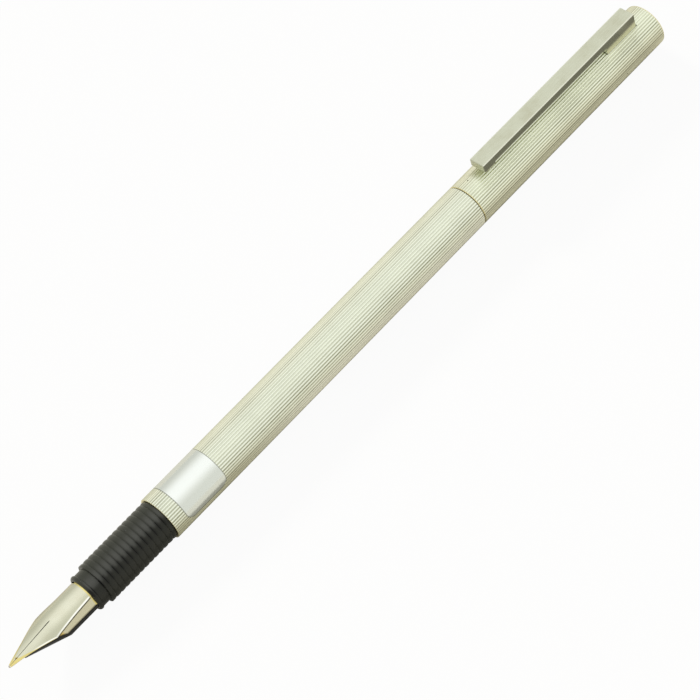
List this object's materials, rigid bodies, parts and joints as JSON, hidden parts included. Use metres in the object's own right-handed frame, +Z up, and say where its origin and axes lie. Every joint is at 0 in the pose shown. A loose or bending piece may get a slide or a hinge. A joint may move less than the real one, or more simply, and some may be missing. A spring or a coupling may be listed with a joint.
{
  "type": "fountain pen",
  "caption": "slim fluted metal fountain pen with folded nib, ribbed grip section, piston converter and a posted cap with a sprung bar clip",
  "frame": {"origin": "middle of the whole posted length, on the surface that the pen lies on, under its axis", "axes": "+X along the pen from nib to cap end, +Z up out of the top of the nib, +Y to the left of the nib seen from behind"},
  "size_m": [0.1643, 0.0086, 0.0117],
  "materials": {
    "plated_silver": "silver plate, fluted, satin with a smooth panel",
    "clip_metal": "matte plated bar with slightly worn edges",
    "nib_metal": "polished sheet metal",
    "tipping": "ground hard bead",
    "black_plastic": "matte black, ribbed on the grip",
    "feed_plastic": "moulded black",
    "black_rubber": "soft black",
    "brass": "turned brass",
    "steel": "bright steel",
    "clear_plastic": "clear"
  },
  "bodies": {
    "barrel": {"barrel_tube": "plated_silver", "barrel_bush": "brass", "tail_plug": "plated_silver"},
    "friction_ring": {"tail_ring": "brass"},
    "cap": {"cap_tube": "plated_silver", "cap_top": "plated_silver", "inner_cap": "black_plastic", "clip_carrier": "brass", "clip_pin": "steel", "clip_spring": "steel", "cap_screw": "steel"},
    "clip": {"clip": "clip_metal"},
    "seal": {"section_o_ring": "black_rubber"},
    "washer": {"section_washer": "black_plastic"},
    "section": {"grip_section": "black_plastic", "nib": "nib_metal", "nib_tipping": "tipping", "feed": "feed_plastic", "ink_nipple": "black_plastic"},
    "converter": {"converter_tube": "clear_plastic", "converter_collar": "steel", "rod_guide": "black_plastic"},
    "piston": {"piston_rod": "steel", "piston_seal": "black_rubber"},
    "knob": {"converter_knob": "black_plastic"}
  },
  "joints": [
    {"name": "cap_turn", "type": "hinge", "parent": "barrel", "child": "friction_ring", "pos_m": [0.0342, 0, 0.00435], "axis": [1, 0, 0], "continuous": true},
    {"name": "cap_pull", "type": "slide", "parent": "friction_ring", "child": "cap", "axis": [1, 0, 0], "range_m": [0, 0.03]},
    {"name": "clip_lift", "type": "hinge", "parent": "cap", "child": "clip", "pos_m": [0.07209, 0.00052, 0.0069], "axis": [0, 0.9799, -0.1994], "range_deg": [0, 6], "stiffness_Nm_per_rad": 0.5, "springref_deg": -5.73, "deforming": ["clip_spring"]},
    {"name": "section_withdraw", "type": "slide", "parent": "barrel", "child": "seal", "axis": [-1, 0, 0], "range_m": [0, 0.066]},
    {"name": "section_advance", "type": "slide", "parent": "seal", "child": "washer", "axis": [-1, 0, 0], "range_m": [0, 0.0063]},
    {"name": "section_turn", "type": "hinge", "parent": "washer", "child": "section", "pos_m": [-0.044, 0, 0.00435], "axis": [-1, 0, 0], "range_deg": [0, 2521]},
    {"name": "converter_pull", "type": "slide", "parent": "section", "child": "converter", "axis": [1, 0, 0], "range_m": [0, 0.006]},
    {"name": "knob_turn", "type": "hinge", "parent": "converter", "child": "knob", "pos_m": [0.003, 0, 0.00435], "axis": [1, 0, 0], "range_deg": [0, 3601]},
    {"name": "piston_slide", "type": "slide", "parent": "converter", "child": "piston", "axis": [-1, 0, 0], "range_m": [0, 0.02]}
  ],
  "couplings": [
    {"joint": "section_turn", "follows": "section_advance", "rad_per_m": 6981.3},
    {"joint": "knob_turn", "follows": "piston_slide", "rad_per_m": 3141.6}
  ]
}
